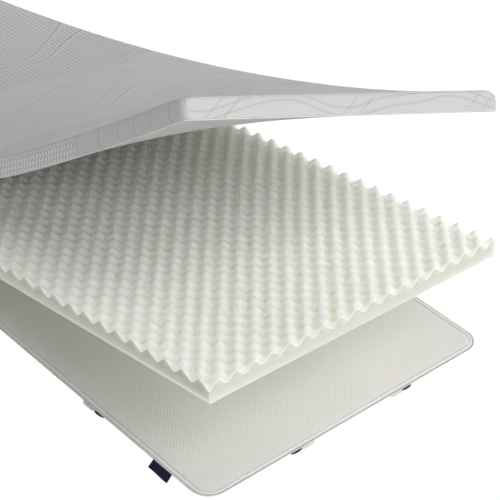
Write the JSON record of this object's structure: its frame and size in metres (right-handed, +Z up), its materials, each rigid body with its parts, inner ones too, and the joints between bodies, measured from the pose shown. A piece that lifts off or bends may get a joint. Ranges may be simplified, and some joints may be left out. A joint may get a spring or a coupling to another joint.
{
  "type": "mattress topper",
  "caption": "Mattress topper opened in layers: flat bottom cover with corner elastics, bumpy foam core rising gently, and a padded knitted top cover curling up from the head end.",
  "frame": {"origin": "on the floor, at the centre of the bottom cover's underside", "axes": "+Z up; +Y along the length, from the open foot end towards the head end where the layers meet; +X to the right across the width, seen from the foot end"},
  "size_m": [1.0521, 2.021, 0.8671],
  "materials": {
    "bottom_knit": "matt fine-ribbed knit, warm light grey",
    "welt_fabric": "matt smooth fabric, light grey",
    "zip_tape": "woven zip tape, mid grey",
    "egg_foam": "open-cell foam, very pale grey-green",
    "comfort_foam": "open-cell foam with a smooth face, pale grey-green",
    "cover_knit": "matt double knit, mid grey",
    "label_weave": "woven label, dark navy, bare",
    "elastic": "woven elastic, near black",
    "tab_webbing": "woven webbing, light grey"
  },
  "bodies": {
    "root": {"bottom_panel": "bottom_knit", "comfort_layer": "comfort_foam", "corner_elastic_foot_left": "elastic", "corner_elastic_foot_right": "elastic", "corner_elastic_head_left": "elastic", "corner_elastic_head_right": "elastic", "edge_welt": "welt_fabric", "end_tab_foot_left": "tab_webbing", "end_tab_foot_right": "tab_webbing", "end_tab_head_left": "tab_webbing", "end_tab_head_right": "tab_webbing", "foam_core": "egg_foam", "lower_zip_tape": "zip_tape", "side_border": "cover_knit", "side_label": "label_weave", "side_tab_foot_left": "tab_webbing", "side_tab_foot_right": "tab_webbing", "side_tab_head_left": "tab_webbing", "side_tab_head_right": "tab_webbing", "top_panel": "cover_knit", "upper_zip_tape": "zip_tape"}
  },
  "joints": []
}
